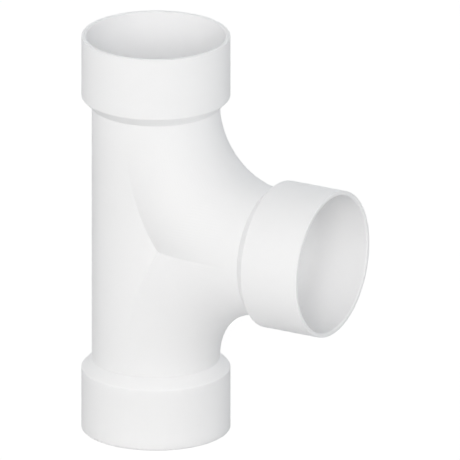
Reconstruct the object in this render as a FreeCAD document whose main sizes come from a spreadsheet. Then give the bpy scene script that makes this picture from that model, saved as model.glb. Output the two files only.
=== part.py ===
import FreeCAD, Part
import os
import Sketcher

# Two-way cleanout tee for 4-inch thin-wall drain pipe, moulded in one piece.
# A straight run stands upright and a branch leaves its side along +X. Two sweeps of the same bore carry the
# branch into the run, one upwards and one downwards, so a drain cable can turn either way.
# Each end is a solvent-weld hub: a socket for the pipe, and a cone that narrows to the tube of the body.
#
# Inside the bodies the origin is where the axes of the run and the branch cross. The finished fitting is then
# lifted until the mouth of its lower hub lies at Z = 0, with the run along Z.

NODE = "cleanout_tee"

# Driving sizes in millimetres, and one slope in degrees.
SIZES = {
    "pipe_diameter": 107.1,  # outside of the drain pipe
    "socket_clearance": 0.5,  # on the diameter, between the pipe and its socket
    "socket_depth": 47.4,  # from the mouth to the corner where the wall and the inner cone would meet
    "hub_wall": 3.6,
    "pipe_stop": 8.0,  # how far the cone closes in from the socket's wall, down to the waterway
    "body_wall": 3.6,
    "cone_slope": 45.0,  # degrees between a cone's side and its axis
    "sweep_radius": 102.8,  # bend of a sweep's centre line
    "centre_to_branch_mouth": 156.7,
    "socket_chamfer": 0.8,  # lead-in for the pipe
    "rim_round": 0.5,
    "shoulder_round": 1.0,  # where a hub turns into its cone
    "stop_round": 15.0,  # where the socket's wall turns into the inner cone, and the pipe comes to rest
}

# Sizes that follow from the driving ones, as expressions on the sheet.
SOCKET_RADIUS = "((sizes.pipe_diameter + sizes.socket_clearance) / 2)"
HUB_RADIUS = f"({SOCKET_RADIUS} + sizes.hub_wall)"
BORE_RADIUS = f"({SOCKET_RADIUS} - sizes.pipe_stop)"
BODY_RADIUS = f"({BORE_RADIUS} + sizes.body_wall)"
SLOPE = "(sizes.cone_slope * 1 deg)"
# A hub's outer corner lies deeper than its inner one, so that the wall keeps its thickness round the corner.
HUB_LENGTH = f"(sizes.socket_depth + sizes.hub_wall * tan({SLOPE} / 2))"
HUB_CONE_LENGTH = f"(({HUB_RADIUS} - {BODY_RADIUS}) / tan({SLOPE}))"
SOCKET_CONE_LENGTH = f"(sizes.pipe_stop / tan({SLOPE}))"
# The sweeps begin where the cones of the run end.
CENTRE_TO_RUN_MOUTH = f"(sizes.sweep_radius + {HUB_CONE_LENGTH} + {HUB_LENGTH})"
# Where the seam of a sweep comes down to the branch's axis, and how far its trimming reaches past the bend.
SEAM_FOOT = "(sizes.sweep_radius / 4)"
TRIM_REACH = "(2 * sizes.sweep_radius)"

TOUCHING = 1e-3  # mm, for telling two edges apart
VOLUME_MISS = 1e-4  # largest share of a volume by which a cut may be out
FULL_TURN = 360.0
QUARTER_TURN = 90.0


def make_sheet(doc):
    """Spreadsheet of the driving sizes, one cell and one alias each."""
    sheet = doc.addObject("Spreadsheet::Sheet", "sizes")
    for row, (name, value) in enumerate(SIZES.items(), start=1):
        sheet.set(f"A{row}", name)
        sheet.set(f"B{row}", str(value))
        sheet.setAlias(f"B{row}", name)
    doc.recompute()
    return sheet


def origin_plane(body, role):
    """One of the body's own origin planes."""
    return next(item for item in body.Origin.OriginFeatures if item.Role == role)


def new_sketch(body, name, plane_role, lift=None):
    """Sketch on an origin plane of the body, raised along the plane's normal by the expression lift."""
    sketch = body.newObject("Sketcher::SketchObject", name)
    sketch.AttachmentSupport = [(origin_plane(body, plane_role), "")]
    sketch.MapMode = "FlatFace"
    if lift:
        sketch.setExpression("AttachmentOffset.Base.z", lift)
    body.Document.recompute()
    return sketch


def measure(item, expression):
    """Present value of an expression, in millimetres, as the sketch or sheet reads it."""
    value = item.evalExpression(expression)
    return float(getattr(value, "Value", value))


def drive(sketch, name, kind, ends, expression):
    """Add a dimension of a kind between its ends and tie it to an expression."""
    index = sketch.addConstraint(Sketcher.Constraint(kind, *ends, measure(sketch, expression)))
    sketch.renameConstraint(index, name)
    sketch.setExpression(f"Constraints.{name}", expression)


def hold_point(sketch, name, geometry, end, across, along):
    """Fix one point of a sketch. A coordinate is an expression, and None puts the point on the axis."""
    sides = ((across, "DistanceX", -2, "across"), (along, "DistanceY", -1, "along"))
    for expression, kind, axis, suffix in sides:
        if expression is None:
            sketch.addConstraint(Sketcher.Constraint("PointOnObject", geometry, end, axis))
        elif expression.startswith("-"):
            drive(sketch, f"{name}_{suffix}", kind, (geometry, end, -1, 1), expression[1:])
        else:
            drive(sketch, f"{name}_{suffix}", kind, (-1, 1, geometry, end), expression)


def place(sketch, across, along):
    """Where hold_point will put a point, for drawing it near its place."""
    return FreeCAD.Vector(*(measure(sketch, side) if side else 0.0 for side in (across, along)), 0)


def add_lines(sketch, points):
    """Draw straight edges through the named points, joined end to end, and return the edges."""
    names = list(points)
    places = [place(sketch, *points[name]) for name in names]
    edges = []
    for start, end in zip(places, places[1:]):
        edges.append(sketch.addGeometry(Part.LineSegment(start, end), False))
    for first, second in zip(edges, edges[1:]):
        sketch.addConstraint(Sketcher.Constraint("Coincident", first, 2, second, 1))
    return edges


def draw_profile(body, name, points):
    """Closed outline of straight edges, seen from the side. The points map a name to its two coordinates."""
    sketch = new_sketch(body, name, "XZ_Plane")
    names = list(points)
    edges = add_lines(sketch, {**points, "closing": points[names[0]]})
    sketch.addConstraint(Sketcher.Constraint("Coincident", edges[-1], 2, edges[0], 1))
    for edge, point in zip(edges, names):
        hold_point(sketch, point, edge, 1, *points[point])
    return sketch


def draw_seam_region(body, name, corners):
    """Region beside the seam of a sweep, from the seam's top round the corners to its foot.

    Where two tubes of one radius meet, one straight and one bent, they share the curve on which both lie
    equally far from their centre lines. From the side it is a parabola with its vertex on the run's axis
    and its focus at the centre of the bend.
    """
    sketch = new_sketch(body, name, "XZ_Plane")
    radius = measure(sketch, "sizes.sweep_radius")
    vertex = FreeCAD.Vector(0, radius, 0)
    focus = FreeCAD.Vector(radius, radius, 0)
    curve = Part.Parabola(focus, vertex, FreeCAD.Vector(0, 0, 1))
    foot = FreeCAD.Vector(measure(sketch, SEAM_FOOT), 0, 0)
    limits = sorted((curve.parameter(vertex), curve.parameter(foot)))
    seam = sketch.addGeometry(Part.ArcOfParabola(curve, *limits), False)
    sketch.exposeInternalGeometry(seam)
    focus_point = seam + 1

    # The arc starts at its foot, on the branch's axis, and ends at its vertex.
    hold_point(sketch, "vertex", seam, 3, None, "sizes.sweep_radius")
    hold_point(sketch, "focus", focus_point, 1, "sizes.sweep_radius", "sizes.sweep_radius")
    sketch.addConstraint(Sketcher.Constraint("PointOnObject", seam, 1, -1))
    drive(sketch, "seam_top", "DistanceY", (-1, 1, seam, 2), "sizes.sweep_radius")

    edges = add_lines(
        sketch,
        {"top": (None, "sizes.sweep_radius"), **corners, "foot": (SEAM_FOOT, None)},
    )
    sketch.addConstraint(Sketcher.Constraint("Coincident", edges[0], 1, seam, 2))
    sketch.addConstraint(Sketcher.Constraint("Coincident", edges[-1], 2, seam, 1))
    for edge, corner in zip(edges[1:], corners):
        hold_point(sketch, corner, edge, 1, *corners[corner])
    return sketch


def draw_circle(body, name, plane_role, radius, lift=None):
    """Circle about the origin of the plane."""
    sketch = new_sketch(body, name, plane_role, lift)
    circle = Part.Circle(FreeCAD.Vector(), FreeCAD.Vector(0, 0, 1), measure(sketch, radius))
    index = sketch.addGeometry(circle, False)
    sketch.addConstraint(Sketcher.Constraint("Coincident", index, 3, -1, 1))
    drive(sketch, "radius", "Radius", (index,), radius)
    return sketch


def add_feature(body, kind, name, sketch, **settings):
    """Feature made from a sketch."""
    feature = body.newObject(f"PartDesign::{kind}", name)
    feature.Profile = sketch
    for key, value in settings.items():
        setattr(feature, key, value)
    sketch.Visibility = False
    body.Document.recompute()
    return feature


def cut_region(body, name, sketch):
    """Cut a region of the side view right through the body."""
    return add_feature(body, "Pocket", name, sketch, Type="ThroughAll", SideType="Symmetric")


def combine(body, name, kind, tool):
    """Boolean of the body with another one."""
    feature = body.newObject("PartDesign::Boolean", name)
    feature.setObjects([tool])
    feature.Type = kind
    body.Document.recompute()
    return feature


def revolve_about(body, name, sketch, axis_role):
    """Full turn of a profile about an axis of the body."""
    axis = origin_plane(body, axis_role)
    return add_feature(body, "Revolution", name, sketch, ReferenceAxis=(axis, [""]), Angle=FULL_TURN)


def make_upper_sweep(doc, name, radius):
    """The bent tube above the branch's axis, trimmed to its seams with the run and with its twin below."""
    body = doc.addObject("PartDesign::Body", name)
    section = draw_circle(body, f"{name}_section", "XY_Plane", radius, lift="sizes.sweep_radius")
    reach = measure(section, "sizes.sweep_radius")
    low = FreeCAD.Vector(reach, -reach, 0)
    high = FreeCAD.Vector(reach, reach, 0)
    axis = section.addGeometry(Part.LineSegment(low, high), True)
    hold_point(section, "axis_low", axis, 1, "sizes.sweep_radius", "-sizes.sweep_radius")
    hold_point(section, "axis_high", axis, 2, "sizes.sweep_radius", "sizes.sweep_radius")
    add_feature(
        body,
        "Revolution",
        f"{name}_bend",
        section,
        ReferenceAxis=(section, ["Axis0"]),
        Angle=QUARTER_TURN,
        Reversed=True,
    )

    # Everything left of the seam belongs to the run, and everything below the branch's axis to the twin.
    beyond = {
        "outer_top": ("-sizes.sweep_radius", "sizes.sweep_radius"),
        "outer_foot": ("-sizes.sweep_radius", "-sizes.sweep_radius"),
        "branch_foot": (TRIM_REACH, "-sizes.sweep_radius"),
        "branch_axis": (TRIM_REACH, None),
    }
    cut_region(body, f"{name}_trim", draw_seam_region(body, f"{name}_outside_seams", beyond))
    return body


def make_form(doc, name, tube_radius, hub_radius, hub_length, cone_length):
    """Solid form with tubes of one radius that widen into a hub at each end.

    It is drawn once as the outside of the fitting and once as the space inside it.
    """
    sweep = make_upper_sweep(doc, f"{name}_sweep", tube_radius)
    body = doc.addObject("PartDesign::Body", name)

    tube = draw_circle(body, f"{name}_run_section", "XY_Plane", tube_radius)
    pad = add_feature(body, "Pad", f"{name}_run", tube)
    pad.setExpression("Length", CENTRE_TO_RUN_MOUTH)

    # The run gives way to the sweep from the seam to the centre of the bend.
    beside_seam = {
        "bend_centre": ("sizes.sweep_radius", "sizes.sweep_radius"),
        "branch_axis": ("sizes.sweep_radius", None),
    }
    cut_region(body, f"{name}_clear_for_sweep", draw_seam_region(body, f"{name}_beside_seam", beside_seam))
    combine(body, f"{name}_add_sweep", "Fuse", sweep)

    run_foot = f"({CENTRE_TO_RUN_MOUTH} - {hub_length} - {cone_length})"
    run_shoulder = f"({CENTRE_TO_RUN_MOUTH} - {hub_length})"
    run_profile = {
        "foot_axis": (None, run_foot),
        "foot": (tube_radius, run_foot),
        "shoulder": (hub_radius, run_shoulder),
        "mouth": (hub_radius, CENTRE_TO_RUN_MOUTH),
        "mouth_axis": (None, CENTRE_TO_RUN_MOUTH),
    }
    run_hub = draw_profile(body, f"{name}_run_hub_profile", run_profile)
    revolve_about(body, f"{name}_run_hub", run_hub, "Z_Axis")

    both_ends = body.newObject("PartDesign::Mirrored", f"{name}_both_ends")
    both_ends.TransformMode = "Whole shape"
    both_ends.MirrorPlane = (origin_plane(body, "XY_Plane"), [""])
    body.Tip = both_ends
    doc.recompute()

    branch = draw_circle(body, f"{name}_branch_section", "YZ_Plane", tube_radius, lift="sizes.sweep_radius")
    branch_tube = add_feature(body, "Pad", f"{name}_branch", branch)
    branch_tube.setExpression("Length", "sizes.centre_to_branch_mouth - sizes.sweep_radius")

    branch_mouth = "sizes.centre_to_branch_mouth"
    branch_foot = f"({branch_mouth} - {hub_length} - {cone_length})"
    branch_shoulder = f"({branch_mouth} - {hub_length})"
    branch_profile = {
        "foot_axis": (branch_foot, None),
        "foot": (branch_foot, tube_radius),
        "shoulder": (branch_shoulder, hub_radius),
        "mouth": (branch_mouth, hub_radius),
        "mouth_axis": (branch_mouth, None),
    }
    branch_hub = draw_profile(body, f"{name}_branch_hub_profile", branch_profile)
    revolve_about(body, f"{name}_branch_hub", branch_hub, "X_Axis")
    return body


def hub_ends(sheet):
    """Centre and outward direction of the three mouths, in the bodies' frame."""
    run = measure(sheet, CENTRE_TO_RUN_MOUTH)
    branch = measure(sheet, "sizes.centre_to_branch_mouth")
    up, out = FreeCAD.Vector(0, 0, 1), FreeCAD.Vector(1, 0, 0)
    return ((up * run, up), (up * -run, up * -1), (out * branch, out))


def rings(body, sheet, radius, depth):
    """Names of the circular edges of a radius that lie at a depth inside each mouth."""
    centres = [mouth - outward * measure(sheet, depth) for mouth, outward in hub_ends(sheet)]
    shape = body.Tip.Shape
    found = []
    for number, edge in enumerate(shape.Edges, start=1):
        if edge.Curve.TypeId != "Part::GeomCircle" or abs(edge.Curve.Radius - radius) > TOUCHING:
            continue
        if any((edge.Curve.Center - centre).Length < TOUCHING for centre in centres):
            found.append(f"Edge{number}")
    return found


def dress(body, kind, name, edges, dimension, size):
    """Chamfer or Fillet of the named edges of the body's present tip."""
    base = body.Tip
    feature = body.newObject(f"PartDesign::{kind}", name)
    feature.Base = (base, edges)
    feature.setExpression(dimension, size)
    body.Document.recompute()
    return feature


def finish_hubs(body, sheet):
    """Lead-in chamfers and stop rounds in the sockets, and the small rounds of a mould on the hubs."""
    socket_radius = measure(sheet, SOCKET_RADIUS)
    hub_radius = measure(sheet, HUB_RADIUS)
    mouths = rings(body, sheet, socket_radius, "0")
    dress(body, "Chamfer", "socket_lead_ins", mouths, "Size", "sizes.socket_chamfer")
    rims = rings(body, sheet, hub_radius, "0")
    dress(body, "Fillet", "rim_rounds", rims, "Radius", "sizes.rim_round")
    shoulders = rings(body, sheet, hub_radius, HUB_LENGTH)
    dress(body, "Fillet", "shoulder_rounds", shoulders, "Radius", "sizes.shoulder_round")
    stops = rings(body, sheet, socket_radius, "sizes.socket_depth")
    dress(body, "Fillet", "stop_rounds", stops, "Radius", "sizes.stop_round")


def check_document(doc):
    """Stop if any object failed to build."""
    for item in doc.Objects:
        failed = {"Invalid", "Error"} & set(item.State)
        if failed:
            raise RuntimeError(f"{item.Label} did not build: {item.State}")


def check_solid(shape, label):
    """Stop if a finished piece is not one sound solid."""
    if shape.isNull() or not shape.isValid() or len(shape.Solids) != 1:
        raise RuntimeError(f"{label} is not one valid solid")


def main():
    doc = FreeCAD.newDocument("two_way_cleanout_tee")
    sheet = make_sheet(doc)

    waterway = make_form(
        doc, "waterway", BORE_RADIUS, SOCKET_RADIUS, "sizes.socket_depth", SOCKET_CONE_LENGTH
    )
    tee = make_form(doc, NODE, BODY_RADIUS, HUB_RADIUS, HUB_LENGTH, HUB_CONE_LENGTH)
    outside = tee.Shape.Volume
    hollow = waterway.Shape.Volume
    combine(tee, "hollow_out", "Cut", waterway)
    if abs(outside - hollow - tee.Shape.Volume) > VOLUME_MISS * outside:
        raise RuntimeError("the waterway did not come out of the outside form whole")

    finish_hubs(tee, sheet)
    tee.setExpression("Placement.Base.z", CENTRE_TO_RUN_MOUTH)
    doc.recompute()

    check_document(doc)
    check_solid(tee.Shape, tee.Label)
    os.makedirs("parts", exist_ok=True)
    tee.Shape.exportStep(f"parts/{tee.Label}.step")
    box = tee.Shape.optimalBoundingBox()
    extent = f"{box.XLength:.1f} x {box.YLength:.1f} x {box.ZLength:.1f} mm"
    print(f"{tee.Label}: {tee.Shape.Volume:.0f} cubic mm, {extent}")


main()
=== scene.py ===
import ast
import math

import bpy
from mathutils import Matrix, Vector


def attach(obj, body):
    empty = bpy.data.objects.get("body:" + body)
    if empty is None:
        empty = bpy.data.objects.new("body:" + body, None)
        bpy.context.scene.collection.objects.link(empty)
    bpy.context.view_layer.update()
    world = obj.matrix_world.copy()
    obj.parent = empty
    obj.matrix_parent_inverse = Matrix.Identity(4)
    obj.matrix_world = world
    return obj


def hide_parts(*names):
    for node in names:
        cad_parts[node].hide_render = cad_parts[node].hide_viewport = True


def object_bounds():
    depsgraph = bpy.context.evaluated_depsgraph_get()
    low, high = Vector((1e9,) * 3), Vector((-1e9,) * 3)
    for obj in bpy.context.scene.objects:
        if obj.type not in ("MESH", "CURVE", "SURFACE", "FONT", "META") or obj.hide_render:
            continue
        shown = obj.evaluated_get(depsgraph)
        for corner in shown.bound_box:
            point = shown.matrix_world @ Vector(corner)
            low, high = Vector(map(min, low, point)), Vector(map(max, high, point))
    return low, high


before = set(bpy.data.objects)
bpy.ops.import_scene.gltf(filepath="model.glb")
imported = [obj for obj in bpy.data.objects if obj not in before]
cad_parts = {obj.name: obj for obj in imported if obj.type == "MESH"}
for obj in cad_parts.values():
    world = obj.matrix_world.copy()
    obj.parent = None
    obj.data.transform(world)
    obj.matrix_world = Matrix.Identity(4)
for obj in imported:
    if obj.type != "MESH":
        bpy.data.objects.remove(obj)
cad_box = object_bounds()

# Two-way cleanout tee: one white PVC moulding. The run stands along Z with a pipe socket at each end, and
# the branch leaves it along +X through two sweeps, one from above and one from below.

MM = 0.001

# Sizes of the fitting, in metres, and one slope in radians. They are the solid's own.
SIZES = {
    "tube radius": 49.4 * MM,  # outside of the run, the sweeps and the branch
    "bore radius": 45.8 * MM,
    "hub radius": 57.4 * MM,
    "socket radius": 53.8 * MM,
    "socket depth": 47.4 * MM,
    "socket chamfer": 0.8 * MM,
    "rim round": 0.5 * MM,
    "shoulder round": 1.0 * MM,
    "stop round": 15.0 * MM,  # where the socket turns into its cone
    "cone slope": math.radians(45.0),
    "sweep radius": 102.8 * MM,
    "branch mouth": 156.7 * MM,
}
COUNTS = {
    "half turn": 72,  # cells round half of a tube
    "seam rows": 48,  # from a hub of the run down to where the three tubes meet
    "bend rows": 20,  # from there along the sweep to the branch
    "round cells": 8,  # along each rounded edge
}

# Points nearer to each other than this are one, and an edge is crisp where it turns by more than its crease.
SAME_POINT = 0.005 * MM
SEAM_CREASE = math.radians(6.0)  # the seams between the tubes
EDGE_CREASE = math.radians(30.0)  # rims, lead-ins and the ends of the cones

MEETING = 0.5  # tangent of half the bend at which the run and both sweeps meet
LAST_ROW = 0.999  # share of the way along a grid that only its last row passes

# The camera's place, read from the photograph's proportions: it looks straight, without perspective.
IMAGE_SIDE = 460
PIXEL = 0.7702 * MM
RUN_AXIS_PIXEL = 155.918
CENTRE_PIXEL = 230.458
CAMERA_AZIMUTH = math.radians(29.642)
CAMERA_ELEVATION = math.radians(19.677)
CAMERA_DISTANCE = 2.0

# Rigid PVC: its pigment's two shades, its mould finish and how far light wanders under its surface. The
# patterns are in features to the metre.
PIGMENT = ("#F9F9FA", "#FCFCFD")
CLOUDS = 28.0
RIPPLES = 330.0
RIPPLE_HEIGHT = 0.01 * MM
RIPPLE_STRENGTH = 0.5
GLOSS_DRIFTS = 12.0
ROUGHNESS = (0.58, 0.66)
PVC_INDEX = 1.53
LIGHT_REACH = 3.0 * MM

FLOOR_HALF_SIDE = 4.0
FLOOR_PAINT = "#E2E2E2"
FLOOR_WHITE = 1.1  # strength of the white that the camera sees in the floor
FLOOR_WHITE_SHARE = 0.85  # the rest of what the camera sees there is lit paint, which holds the shadow

# The studio's walls, by the sine of the height above the horizon: grey low down, a pale ring about 45
# degrees up, dark overhead, and a trace cooler than the lamps.
STUDIO = ((0.0, "#9D9E9F"), (0.35, "#616263"), (0.70, "#DFE1E3"), (1.0, "#303132"))

# Lamps: degrees to the right of the camera, degrees above the horizon, spread in degrees, strength, colour.
LAMPS = {
    "key": (0.0, 19.7, 30.0, 1.50, "#FFFDFB"),
    "left fill": (-85.0, 8.0, 90.0, 0.90, "#FFFEFD"),
    "right fill": (85.0, 8.0, 90.0, 0.46, "#F6FAFF"),
    "back": (180.0, 10.0, 60.0, 0.80, "#F9FCFF"),
}

OPERATIONS = {ast.Add: "ADD", ast.Sub: "SUBTRACT", ast.Mult: "MULTIPLY", ast.Div: "DIVIDE"}
FUNCTIONS = {
    "cos": "COSINE",
    "sin": "SINE",
    "tan": "TANGENT",
    "acos": "ARCCOSINE",
    "atan": "ARCTANGENT",
    "most": "MAXIMUM",
    "above": "GREATER_THAN",
    "remainder": "MODULO",
}


def add(tree, kind, links=None, **settings):
    """Add a node with its settings. Links give an input's name or number a socket or a value."""
    node = tree.nodes.new(kind)
    for name, value in settings.items():
        setattr(node, name, value)
    for key, source in (links or {}).items():
        if isinstance(source, bpy.types.NodeSocket):
            tree.links.new(source, node.inputs[key])
        else:
            node.inputs[key].default_value = source
    return node


def work_out(tree, lines, **known):
    """Turn lines such as "x = radius * cos(turn)" into Math nodes, and return every value by its name."""

    def build(term):
        if isinstance(term, ast.Constant):
            return float(term.value)
        if isinstance(term, ast.Name):
            return known[term.id]
        if isinstance(term, ast.BinOp):
            operation, parts = OPERATIONS[type(term.op)], (term.left, term.right)
        else:
            operation, parts = FUNCTIONS[term.func.id], term.args
        links = {place: build(part) for place, part in enumerate(parts)}
        return add(tree, "ShaderNodeMath", links, operation=operation).outputs[0]

    for line in ast.parse(lines).body:
        known[line.targets[0].id] = build(line.value)
    return known


def new_tree(name, inputs):
    """Geometry tree with named inputs. Returns it and its inputs by name."""
    tree = bpy.data.node_groups.new(name, "GeometryNodeTree")
    for label, kind in inputs.items():
        tree.interface.new_socket(label, in_out="INPUT", socket_type=kind)
    tree.interface.new_socket("Mesh", in_out="OUTPUT", socket_type="NodeSocketGeometry")
    given = add(tree, "NodeGroupInput")
    return tree, {label.replace(" ", "_"): given.outputs[label] for label in inputs}


def grid_cells(tree, across, along):
    """Flat grid, with how far each of its points lies along its two sides, from 0 to 1."""
    corners = work_out(tree, "columns = across + 1\nrows = along + 1", across=across, along=along)
    counts = {"Vertices X": corners["columns"], "Vertices Y": corners["rows"]}
    grid = add(tree, "GeometryNodeMeshGrid", {**counts, "Size X": 1.0, "Size Y": 1.0}).outputs["Mesh"]
    place = add(tree, "GeometryNodeInputPosition").outputs[0]
    sides = add(tree, "ShaderNodeSeparateXYZ", {0: place})
    shares = work_out(tree, "u = x + 0.5\nv = y + 0.5", x=sides.outputs[0], y=sides.outputs[1])
    return grid, {"u": shares["u"], "v": shares["v"]}


def bent_grid(tree, grid, place):
    """The grid with its points moved to the worked-out place."""
    point = add(tree, "ShaderNodeCombineXYZ", {axis: place[axis.lower()] for axis in "XYZ"})
    return add(tree, "GeometryNodeSetPosition", {0: grid, "Position": point.outputs[0]}).outputs[0]


def joined(tree, meshes):
    """The meshes as one, with the points that they share made one."""
    together = add(tree, "GeometryNodeJoinGeometry")
    for mesh in meshes:
        tree.links.new(mesh, together.inputs[0])
    links = {0: together.outputs[0], "Distance": SAME_POINT}
    return add(tree, "GeometryNodeMergeByDistance", links).outputs[0]


def creased(tree, mesh, least_angle):
    """The mesh shaded smooth, apart from its edges that turn by more than an angle."""
    turn = add(tree, "GeometryNodeInputMeshEdgeAngle").outputs["Unsigned Angle"]
    sharp = work_out(tree, "sharp = above(turn, least)", turn=turn, least=least_angle)["sharp"]
    links = {0: mesh, "Selection": sharp, "Shade Smooth": False}
    return add(tree, "GeometryNodeSetShadeSmooth", links, domain="EDGE").outputs[0]


def tube_skin_tree():
    """Skin of the run and the two sweeps.

    Two tubes of one radius, one straight and one bent, meet in the curve that is equally far from both
    centre lines. Seen from the side it is a parabola, and each ring of cells ends on it.
    """
    tree, size = new_tree(
        "tube skin",
        {
            "radius": "NodeSocketFloat",
            "sweep radius": "NodeSocketFloat",
            "branch foot": "NodeSocketFloat",
            "half turn": "NodeSocketInt",
            "seam rows": "NodeSocketInt",
            "bend rows": "NodeSocketInt",
        },
    )
    known = {
        "radius": size["radius"],
        "sweep": size["sweep_radius"],
        "foot": size["branch_foot"],
        "meeting": MEETING,
        "last_row": LAST_ROW,
        "pi": math.pi,
    }

    grid, shares = grid_cells(tree, size["seam_rows"], size["half_turn"])
    run = work_out(
        tree,
        """
t = meeting * u
seam = acos(sweep * t * t / radius)
turn = seam + 2 * v * (pi - seam)
x = radius * cos(turn)
y = radius * sin(turn)
z = sweep * (1 - 2 * t)
""",
        **known,
        **shares,
    )
    run_skin = bent_grid(tree, grid, run)

    bend_place = """
inward = radius * cos(turn)
x = sweep - (sweep - inward) * cos(bend)
y = radius * sin(turn)
z = sweep - (sweep - inward) * sin(bend)
"""
    grid, shares = grid_cells(tree, size["seam_rows"], size["half_turn"])
    beside_run = work_out(
        tree,
        """
t = meeting * u
bend = 2 * atan(t)
turn = (2 * v - 1) * acos(0 - sweep * t * t / radius)
"""
        + bend_place,
        **known,
        **shares,
    )
    beside_run_skin = bent_grid(tree, grid, beside_run)

    # The last row is the ring on which the branch's hub stands.
    grid, shares = grid_cells(tree, size["bend_rows"], size["half_turn"])
    beside_twin = work_out(
        tree,
        """
start = 2 * atan(meeting)
end = acos(most(sweep - foot, 0) / sweep)
bend = start + (end - start) * u
turn = (2 * v - 1) * acos(0 - sweep * (1 / sin(bend) - 1) / radius)
"""
        + bend_place
        + """
last = above(u, last_row)
even = (v - 0.5) * pi
x = x + (foot - x) * last
y = y + (radius * sin(even) - y) * last
z = z + (radius * cos(even) - z) * last
""",
        **known,
        **shares,
    )
    beside_twin_skin = bent_grid(tree, grid, beside_twin)

    upper = joined(tree, [run_skin, beside_run_skin, beside_twin_skin])
    turned = add(tree, "GeometryNodeTransform", {0: upper, "Scale": (1.0, 1.0, -1.0)}).outputs[0]
    lower = add(tree, "GeometryNodeFlipFaces", {0: turned}).outputs[0]
    whole = creased(tree, joined(tree, [upper, lower]), SEAM_CREASE)
    add(tree, "NodeGroupOutput", {0: whole})
    return tree


def hub_tree():
    """Hub round the Z axis: outer cone, hub, rim, lead-in, socket, and the inner cone that stops the pipe."""
    names = (
        "tube radius",
        "bore radius",
        "hub radius",
        "socket radius",
        "socket depth",
        "socket chamfer",
        "rim round",
        "shoulder round",
        "stop round",
        "cone slope",
        "mouth",
        "outside start",
        "inside start",
    )
    inputs = {name: "NodeSocketFloat" for name in names}
    inputs.update({"half turn": "NodeSocketInt", "round cells": "NodeSocketInt"})
    tree, size = new_tree("hub", inputs)

    made = work_out(
        tree,
        """
wall = hub_radius - socket_radius
shoulder = mouth - socket_depth - wall * tan(cone_slope / 2)
outside_foot = shoulder - (hub_radius - tube_radius) / tan(cone_slope)
lip = socket_radius + socket_chamfer
lead_in = mouth - socket_chamfer
stop = mouth - socket_depth
inside_foot = stop - (socket_radius - bore_radius) / tan(cone_slope)
""",
        **size,
    )
    corners = (
        ("tube_radius", "outside_start", 0.0),
        ("tube_radius", "outside_foot", 0.0),
        ("hub_radius", "shoulder", size["shoulder_round"]),
        ("hub_radius", "mouth", size["rim_round"]),
        ("lip", "mouth", 0.0),
        ("socket_radius", "lead_in", 0.0),
        ("socket_radius", "stop", size["stop_round"]),
        ("bore_radius", "inside_foot", 0.0),
        ("bore_radius", "inside_start", 0.0),
    )
    place = add(tree, "GeometryNodeIndexSwitch", data_type="VECTOR")
    rounding = add(tree, "GeometryNodeIndexSwitch", data_type="FLOAT")
    index = add(tree, "GeometryNodeInputIndex").outputs[0]
    for switch in (place, rounding):
        for _ in corners[len(switch.index_switch_items):]:
            switch.index_switch_items.new()
        tree.links.new(index, switch.inputs["Index"])
    for number, (radius, height, round_radius) in enumerate(corners, start=1):
        corner = add(tree, "ShaderNodeCombineXYZ", {"X": made[radius], "Z": made[height]})
        tree.links.new(corner.outputs[0], place.inputs[number])
        if isinstance(round_radius, bpy.types.NodeSocket):
            tree.links.new(round_radius, rounding.inputs[number])

    line = add(tree, "GeometryNodeMeshLine", {"Count": len(corners)})
    placed = add(tree, "GeometryNodeSetPosition", {0: line.outputs[0], "Position": place.outputs[0]})
    outline = add(tree, "GeometryNodeMeshToCurve", {0: placed.outputs[0]})
    rounds = {0: outline.outputs[0], "Count": size["round_cells"], "Radius": rounding.outputs[0]}
    rounded = add(tree, "GeometryNodeFilletCurve", rounds, mode="POLY")
    profile = joined(tree, [add(tree, "GeometryNodeCurveToMesh", {0: rounded.outputs[0]}).outputs[0]])

    points = add(tree, "GeometryNodeAttributeDomainSize", {0: profile}).outputs["Point Count"]
    cells = work_out(
        tree,
        """
around = half_turn * 2
along = points - 1
""",
        half_turn=size["half_turn"],
        points=points,
    )
    grid, shares = grid_cells(tree, cells["around"], cells["along"])
    number = work_out(tree, "number = remainder(index, points)", index=index, points=points)["number"]
    position = add(tree, "GeometryNodeInputPosition").outputs[0]
    links = {"Geometry": profile, "Value": position, "Index": number}
    corner = add(tree, "GeometryNodeSampleIndex", links, data_type="FLOAT_VECTOR").outputs[0]
    sides = add(tree, "ShaderNodeSeparateXYZ", {0: corner})
    ring = work_out(
        tree,
        """
turn = (2 * u - 0.5) * pi
x = radius * cos(turn)
y = radius * sin(turn)
""",
        u=shares["u"],
        pi=math.pi,
        radius=sides.outputs["X"],
        z=sides.outputs["Z"],
    )
    whole = joined(tree, [bent_grid(tree, grid, ring)])
    add(tree, "NodeGroupOutput", {0: whole})
    return tree


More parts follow.
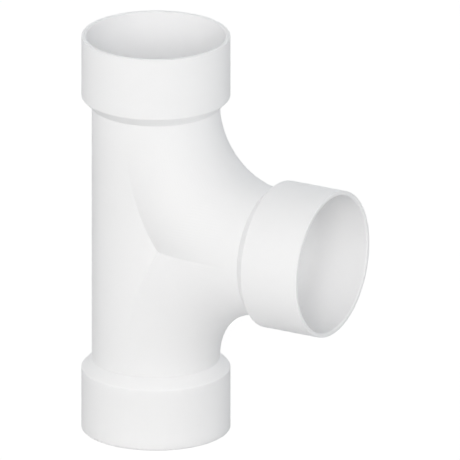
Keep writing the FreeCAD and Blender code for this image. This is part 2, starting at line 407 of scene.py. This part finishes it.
def tee_tree(material):
    """The whole fitting, standing on the mouth of its lower hub."""
    inputs = {name: "NodeSocketFloat" for name in SIZES}
    inputs.update({name: "NodeSocketInt" for name in COUNTS})
    tree, size = new_tree("cleanout tee", inputs)
    made = work_out(
        tree,
        """
wall = hub_radius - socket_radius
hub = socket_depth + wall * tan(cone_slope / 2)
outside_cone = (hub_radius - tube_radius) / tan(cone_slope)
inside_cone = (socket_radius - bore_radius) / tan(cone_slope)
run_mouth = sweep_radius + outside_cone + hub
outside_foot = branch_mouth - hub - outside_cone
inside_foot = branch_mouth - socket_depth - inside_cone
""",
        **size,
    )

    skins = []
    skin_tree = tube_skin_tree()
    for radius, foot in (("tube_radius", "outside_foot"), ("bore_radius", "inside_foot")):
        skin = add(tree, "GeometryNodeGroup", node_tree=skin_tree)
        given = {**made, "radius": made[radius], "branch_foot": made[foot]}
        for socket in skin.inputs:
            tree.links.new(given[socket.name.replace(" ", "_")], socket)
        skins.append(skin)
    outside = skins[0].outputs[0]
    inside = add(tree, "GeometryNodeFlipFaces", {0: skins[1].outputs[0]}).outputs[0]

    hubs = []
    shape_tree = hub_tree()
    for mouth, starts in (
        ("run_mouth", ("sweep_radius", "sweep_radius")),
        ("branch_mouth", ("outside_foot", "inside_foot")),
    ):
        hub = add(tree, "GeometryNodeGroup", node_tree=shape_tree)
        outside_start, inside_start = (made[start] for start in starts)
        given = {
            **made,
            "mouth": made[mouth],
            "outside_start": outside_start,
            "inside_start": inside_start,
        }
        for socket in hub.inputs:
            tree.links.new(given[socket.name.replace(" ", "_")], socket)
        hubs.append(hub.outputs[0])
    upper_hub, branch_hub = hubs
    turned_down = add(tree, "GeometryNodeTransform", {0: upper_hub, "Scale": (1.0, 1.0, -1.0)}).outputs[0]
    lower_hub = add(tree, "GeometryNodeFlipFaces", {0: turned_down}).outputs[0]
    sideways = {0: branch_hub, "Rotation": (0.0, math.pi / 2, 0.0)}
    side_hub = add(tree, "GeometryNodeTransform", sideways).outputs[0]

    whole = joined(tree, [outside, inside, upper_hub, lower_hub, side_hub])
    edged = creased(tree, whole, EDGE_CREASE)
    lift = add(tree, "ShaderNodeCombineXYZ", {"Z": made["run_mouth"]}).outputs[0]
    standing = add(tree, "GeometryNodeTransform", {0: edged, "Translation": lift}).outputs[0]
    realised = add(tree, "GeometryNodeRealizeInstances", {0: standing}).outputs[0]
    finished = add(tree, "GeometryNodeSetMaterial", {0: realised, "Material": material}).outputs[0]
    add(tree, "NodeGroupOutput", {0: finished})
    return tree


def make_tee(material):
    """The fitting as a plain mesh."""
    tree = tee_tree(material)
    holder = bpy.data.objects.new("tee_form", bpy.data.meshes.new("tee_form"))
    bpy.context.scene.collection.objects.link(holder)
    modifier = holder.modifiers.new("form", "NODES")
    modifier.node_group = tree
    values = {**SIZES, **COUNTS}
    for item in tree.interface.items_tree:
        if item.in_out == "INPUT":
            modifier[item.identifier] = values[item.name]
    evaluated = holder.evaluated_get(bpy.context.evaluated_depsgraph_get())
    mesh = bpy.data.meshes.new_from_object(evaluated)
    bpy.data.objects.remove(holder)
    mesh.name = "moulding"
    mesh.materials.clear()
    mesh.materials.append(material)
    piece = bpy.data.objects.new("moulding", mesh)
    bpy.context.scene.collection.objects.link(piece)
    return piece


def linear(code):
    """Linear colour of an sRGB hex code."""
    shares = [int(code[place:place + 2], 16) / 255 for place in (1, 3, 5)]
    return [*(c / 12.92 if c <= 0.04045 else ((c + 0.055) / 1.055) ** 2.4 for c in shares), 1.0]


def moulded_pvc():
    """Rigid white PVC as it leaves the mould: bright, dull satin, and soft because light sinks into it."""
    material = bpy.data.materials.new("moulded_white_pvc")
    material.use_nodes = True
    tree = material.node_tree
    tree.nodes.clear()
    place = add(tree, "ShaderNodeTexCoord").outputs["Object"]

    # Pigment and flow marks: cloudy, a few centimetres across, and one or two levels deep.
    settings = {"Vector": place, "Scale": CLOUDS, "Detail": 3.0, "Roughness": 0.5}
    clouds = add(tree, "ShaderNodeTexNoise", settings)
    darker, lighter = (linear(code) for code in PIGMENT)
    settings = {"Factor": clouds.outputs["Fac"], "A": darker, "B": lighter}
    colour = add(tree, "ShaderNodeMix", settings, data_type="RGBA")
    # The mould's own finish: a ripple about 3 mm across and a hundredth of a millimetre high, which makes
    # the satin slightly uneven, and gloss that drifts by a few hundredths over a hand's breadth.
    settings = {"Vector": place, "Scale": RIPPLES, "Detail": 2.0, "Roughness": 0.5}
    ripple = add(tree, "ShaderNodeTexNoise", settings)
    settings = {"Height": ripple.outputs["Fac"], "Strength": RIPPLE_STRENGTH, "Distance": RIPPLE_HEIGHT}
    relief = add(tree, "ShaderNodeBump", settings)
    settings = {"Vector": place, "Scale": GLOSS_DRIFTS, "Detail": 1.0, "Roughness": 0.4}
    drift = add(tree, "ShaderNodeTexNoise", settings)
    settings = {"Value": drift.outputs["Fac"], "To Min": ROUGHNESS[0], "To Max": ROUGHNESS[1]}
    gloss = add(tree, "ShaderNodeMapRange", settings)
    shader = add(
        tree,
        "ShaderNodeBsdfPrincipled",
        {
            "Base Color": colour.outputs["Result"],
            "Roughness": gloss.outputs["Result"],
            "Normal": relief.outputs["Normal"],
            "IOR": PVC_INDEX,
            "Subsurface Weight": 1.0,
            "Subsurface Radius": (1.0, 1.0, 1.0),
            "Subsurface Scale": LIGHT_REACH,
        },
    )
    add(tree, "ShaderNodeOutputMaterial", {"Surface": shader.outputs[0]})
    return material


def make_floor():
    """Plain white floor. The camera sees it white, with a faint trace of the fitting's shadow."""
    material = bpy.data.materials.new("floor_white")
    material.use_nodes = True
    tree = material.node_tree
    tree.nodes.clear()
    paint = add(tree, "ShaderNodeBsdfDiffuse", {"Color": linear(FLOOR_PAINT)})
    white = add(tree, "ShaderNodeEmission", {"Strength": FLOOR_WHITE})
    rays = add(tree, "ShaderNodeLightPath").outputs
    seen = add(tree, "ShaderNodeMath", {0: rays["Is Camera Ray"], 1: FLOOR_WHITE_SHARE}, operation="MULTIPLY")
    mix = add(tree, "ShaderNodeMixShader", {0: seen.outputs[0], 1: paint.outputs[0], 2: white.outputs[0]})
    add(tree, "ShaderNodeOutputMaterial", {"Surface": mix.outputs[0]})
    half = FLOOR_HALF_SIDE
    corners = [(-half, -half, 0), (half, -half, 0), (half, half, 0), (-half, half, 0)]
    mesh = bpy.data.meshes.new("floor")
    mesh.from_pydata(corners, [], [(0, 1, 2, 3)])
    mesh.materials.append(material)
    floor = bpy.data.objects.new("floor", mesh)
    bpy.context.scene.collection.objects.link(floor)


def direction(turn, rise):
    """Unit vector turned from the front towards +X, and raised above the level."""
    return Vector((math.sin(turn) * math.cos(rise), -math.cos(turn) * math.cos(rise), math.sin(rise)))


def view_axes():
    """The camera's right, up and backward directions."""
    right = Vector((math.cos(CAMERA_AZIMUTH), math.sin(CAMERA_AZIMUTH), 0.0))
    backward = direction(CAMERA_AZIMUTH, CAMERA_ELEVATION)
    return right, backward.cross(right), backward


def make_camera():
    """Camera at the photograph's angle and scale."""
    right, up, backward = view_axes()
    middle = Vector((0.0, 0.0, (cad_box[0][2] + cad_box[1][2]) / 2))
    across = (IMAGE_SIDE / 2 - RUN_AXIS_PIXEL) * PIXEL
    upwards = (CENTRE_PIXEL - IMAGE_SIDE / 2) * PIXEL
    lens = bpy.data.cameras.new("camera")
    lens.type = "ORTHO"
    lens.ortho_scale = IMAGE_SIDE * PIXEL
    camera = bpy.data.objects.new("camera", lens)
    camera.location = middle + right * across + up * upwards + backward * CAMERA_DISTANCE
    camera.rotation_euler = backward.to_track_quat("Z", "Y").to_euler()
    bpy.context.scene.collection.objects.link(camera)
    bpy.context.scene.camera = camera


def make_light():
    """The studio's walls, and its broad lamps: one at the camera, one on each side and one behind."""
    world = bpy.data.worlds.new("studio")
    world.use_nodes = True
    tree = world.node_tree
    tree.nodes.clear()
    rays = add(tree, "ShaderNodeLightPath").outputs
    links = {0: rays["Is Camera Ray"], 1: rays["Is Glossy Ray"]}
    seen = add(tree, "ShaderNodeMath", links, operation="MAXIMUM")
    outward = add(tree, "ShaderNodeTexCoord").outputs["Generated"]
    height = add(tree, "ShaderNodeSeparateXYZ", {0: outward}).outputs["Z"]
    walls = add(tree, "ShaderNodeValToRGB", {"Fac": height})
    stops = walls.color_ramp.elements
    for inner in STUDIO[1:-1]:
        stops.new(inner[0])
    for stop, (place, colour) in zip(stops, STUDIO):
        stop.position = place
        stop.color = linear(colour)
    around = add(tree, "ShaderNodeBackground", {"Color": walls.outputs["Color"], "Strength": 1.0})
    white = add(tree, "ShaderNodeBackground", {"Color": linear("#FFFFFF"), "Strength": 1.0})
    mix = add(tree, "ShaderNodeMixShader", {0: seen.outputs[0], 1: around.outputs[0], 2: white.outputs[0]})
    add(tree, "ShaderNodeOutputWorld", {"Surface": mix.outputs[0]})
    bpy.context.scene.world = world

    for name, (aside, above, spread, strength, colour) in LAMPS.items():
        towards = direction(CAMERA_AZIMUTH + math.radians(aside), math.radians(above))
        lamp = bpy.data.lights.new(name, "SUN")
        lamp.energy = strength
        lamp.angle = math.radians(spread)
        lamp.color = linear(colour)[:3]
        stand = bpy.data.objects.new(name, lamp)
        stand.rotation_euler = towards.to_track_quat("Z", "Y").to_euler()
        bpy.context.scene.collection.objects.link(stand)


white_pvc = moulded_pvc()
moulding = make_tee(white_pvc)
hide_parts("cleanout_tee")
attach(moulding, "root")
make_floor()
make_light()
make_camera()
bpy.context.scene.view_settings.view_transform = "Standard"
